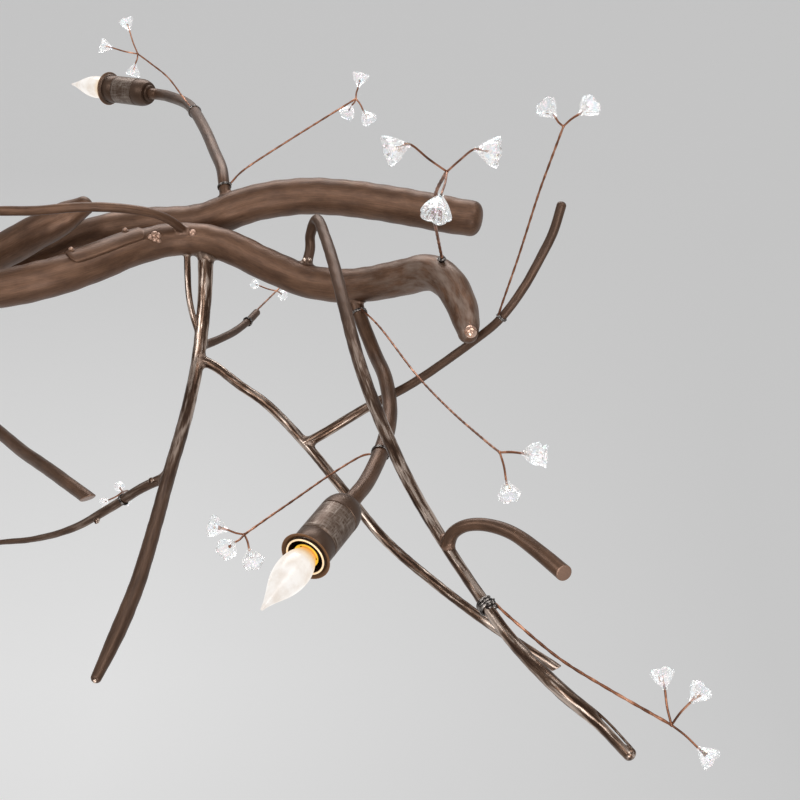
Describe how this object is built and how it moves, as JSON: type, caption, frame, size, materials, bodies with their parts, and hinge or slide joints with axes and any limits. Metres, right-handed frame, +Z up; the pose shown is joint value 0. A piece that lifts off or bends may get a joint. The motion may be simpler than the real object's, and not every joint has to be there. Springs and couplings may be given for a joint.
{
  "type": "branch chandelier",
  "caption": "Chandelier of welded bronze-toned metal branches with cup-held candle bulbs and copper wire sprays of clear glass blossoms, hung on a turning stem from a round canopy.",
  "frame": {"origin": "centre of the crossbar's top face, between the two ceiling screw holes, at the ceiling", "axes": "+Z up to the ceiling, +X along the trunks towards the right end that the picture shows, -Y towards the picture's camera"},
  "size_m": [1.468, 1.1872, 0.8568],
  "materials": {
    "trunk_bronze": "satin brushed dark bronze",
    "twig_bronze": "polished dark bronze with hammered streaks",
    "cup_bronze": "mottled satin bronze",
    "ring_brass": "polished",
    "copper_wire": "bright copper",
    "crystal": "clear moulded",
    "bulb_glass": "frosted, lit warm white",
    "socket": "moulded",
    "zinc": "zinc plated"
  },
  "bodies": {
    "ceiling_fitting": {"crossbar": "zinc", "nipple": "zinc", "canopy": "trunk_bronze", "canopy_nut": "trunk_bronze", "swivel_housing": "trunk_bronze"},
    "fixture": {"swivel_spindle": "twig_bronze", "stem": "trunk_bronze", "hub_boss": "trunk_bronze", "hub_finial": "trunk_bronze", "cover_screws": "copper_wire", "lamp_sockets": "socket", "upper_trunk_right": "trunk_bronze", "upper_trunk_left": "trunk_bronze", "lower_trunk_right": "trunk_bronze", "lower_trunk_left": "trunk_bronze", "tie_branch_right": "trunk_bronze", "tie_branch_left": "trunk_bronze", "wireway_cover_right": "trunk_bronze", "wireway_cover_left": "trunk_bronze", "hanging_twig_right": "twig_bronze", "hanging_twig_left": "twig_bronze", "side_rod_right": "twig_bronze", "side_rod_left": "twig_bronze", "long_twig_right": "twig_bronze", "long_twig_left": "twig_bronze", "rising_twig_right": "twig_bronze", "rising_twig_left": "twig_bronze", "arched_twig_right": "twig_bronze", "arched_twig_left": "twig_bronze", "hook_twig_right": "trunk_bronze", "hook_twig_left": "trunk_bronze", "low_rod_right": "trunk_bronze", "low_rod_left": "trunk_bronze", "low_twig_right": "twig_bronze", "low_twig_left": "twig_bronze", "stub_twig_right": "twig_bronze", "stub_twig_left": "twig_bronze", "front_lamp_arm_right": "trunk_bronze", "front_lamp_arm_left": "trunk_bronze", "rear_lamp_arm_right": "trunk_bronze", "rear_lamp_arm_left": "trunk_bronze", "spray_wires_right": "copper_wire", "spray_wires_left": "copper_wire", "blossoms_right": "crystal", "blossoms_left": "crystal", "lamp_cup_1": "cup_bronze", "lamp_ring_1": "ring_brass", "lamp_cup_2": "cup_bronze", "lamp_ring_2": "ring_brass", "lamp_cup_3": "cup_bronze", "lamp_ring_3": "ring_brass", "lamp_cup_4": "cup_bronze", "lamp_ring_4": "ring_brass"},
    "bulb_1": {"bulb_1": "bulb_glass"},
    "bulb_2": {"bulb_2": "bulb_glass"},
    "bulb_3": {"bulb_3": "bulb_glass"},
    "bulb_4": {"bulb_4": "bulb_glass"}
  },
  "joints": [
    {"name": "fixture_swivel", "type": "hinge", "parent": "ceiling_fitting", "child": "fixture", "pos_m": [0, 0, -0.055], "axis": [0, 0, 1], "range_deg": [-170, 170]},
    {"name": "bulb_1_withdraw", "type": "slide", "parent": "fixture", "child": "bulb_1", "axis": [-0.4188, -0.7685, -0.4837], "range_m": [0, 0.02]},
    {"name": "bulb_2_withdraw", "type": "slide", "parent": "fixture", "child": "bulb_2", "axis": [-0.8227, 0.5318, 0.2009], "range_m": [0, 0.02]},
    {"name": "bulb_3_withdraw", "type": "slide", "parent": "fixture", "child": "bulb_3", "axis": [0.4188, 0.7685, -0.4837], "range_m": [0, 0.02]},
    {"name": "bulb_4_withdraw", "type": "slide", "parent": "fixture", "child": "bulb_4", "axis": [0.8227, -0.5318, 0.2009], "range_m": [0, 0.02]}
  ]
}
